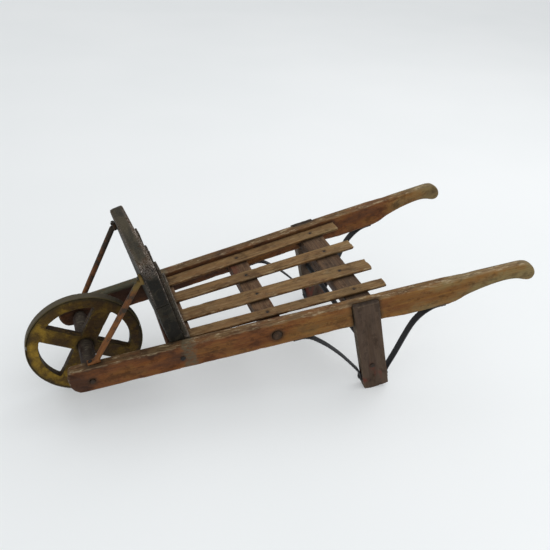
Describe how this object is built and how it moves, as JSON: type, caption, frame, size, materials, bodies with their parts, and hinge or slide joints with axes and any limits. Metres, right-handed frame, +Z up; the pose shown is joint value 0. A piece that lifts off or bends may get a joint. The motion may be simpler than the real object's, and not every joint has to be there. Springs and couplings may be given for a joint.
{
  "type": "wheelbarrow",
  "caption": "Antique child's wheelbarrow: splayed wooden shafts, slatted bed, raked headboard with iron braces, stayed legs and a spoked wooden wheel that turns on iron gudgeons.",
  "frame": {"origin": "on the ground under the centre of the bounding box", "axes": "+X from the wheel towards the handles, +Z up; the left shaft, as seen by the person pushing, is at -Y"},
  "size_m": [0.8142, 0.3208, 0.2814],
  "materials": {
    "shaft_wood": "worn reddish-brown timber with greyed top faces",
    "slat_wood": "weathered tan-brown timber",
    "board_paint": "old dark olive paint, chipped at the edges",
    "leg_wood": "dark timber with traces of red paint",
    "wheel_paint": "worn mustard paint over dark timber",
    "iron": "dull dark wrought iron",
    "rusty_iron": "rusted, with traces of paint"
  },
  "bodies": {
    "frame": {"shaft_left": "shaft_wood", "leg_left": "leg_wood", "stay_front_left": "iron", "stay_rear_left": "iron", "brace_left": "rusty_iron", "stay_screw_shaft_front_left": "iron", "stay_screw_leg_front_left": "iron", "stay_screw_shaft_rear_left": "iron", "stay_screw_leg_rear_left": "iron", "leg_bolt_left": "iron", "rail_nail_left": "iron", "brace_screw_foot_left": "iron", "brace_screw_top_left": "iron", "shaft_right": "shaft_wood", "leg_right": "leg_wood", "stay_front_right": "iron", "stay_rear_right": "iron", "brace_right": "rusty_iron", "stay_screw_shaft_front_right": "iron", "stay_screw_leg_front_right": "iron", "stay_screw_shaft_rear_right": "iron", "stay_screw_leg_rear_right": "iron", "leg_bolt_right": "iron", "rail_nail_right": "iron", "brace_screw_foot_right": "iron", "brace_screw_top_right": "iron", "leg_stretcher": "iron", "rail_front": "shaft_wood", "rail_middle": "shaft_wood", "rail_rear": "shaft_wood", "slat_1": "slat_wood", "slat_2": "slat_wood", "slat_3": "slat_wood", "slat_4": "slat_wood", "slat_nail_middle_1": "iron", "slat_nail_rear_1": "iron", "slat_nail_middle_2": "iron", "slat_nail_rear_2": "iron", "slat_nail_middle_3": "iron", "slat_nail_rear_3": "iron", "slat_nail_middle_4": "iron", "slat_nail_rear_4": "iron", "headboard_lower": "board_paint", "headboard_upper": "board_paint", "batten_left": "board_paint", "batten_centre": "board_paint", "batten_right": "board_paint", "headboard_sill": "board_paint"},
    "wheel": {"wheel_disc": "wheel_paint", "wheel_tyre": "iron", "axle_barrel": "wheel_paint", "gudgeon_left": "iron", "gudgeon_right": "iron"}
  },
  "joints": [
    {"name": "wheel_spin", "type": "hinge", "parent": "frame", "child": "wheel", "pos_m": [-0.31611, 0, 0.091], "axis": [0, 1, 0], "continuous": true}
  ]
}
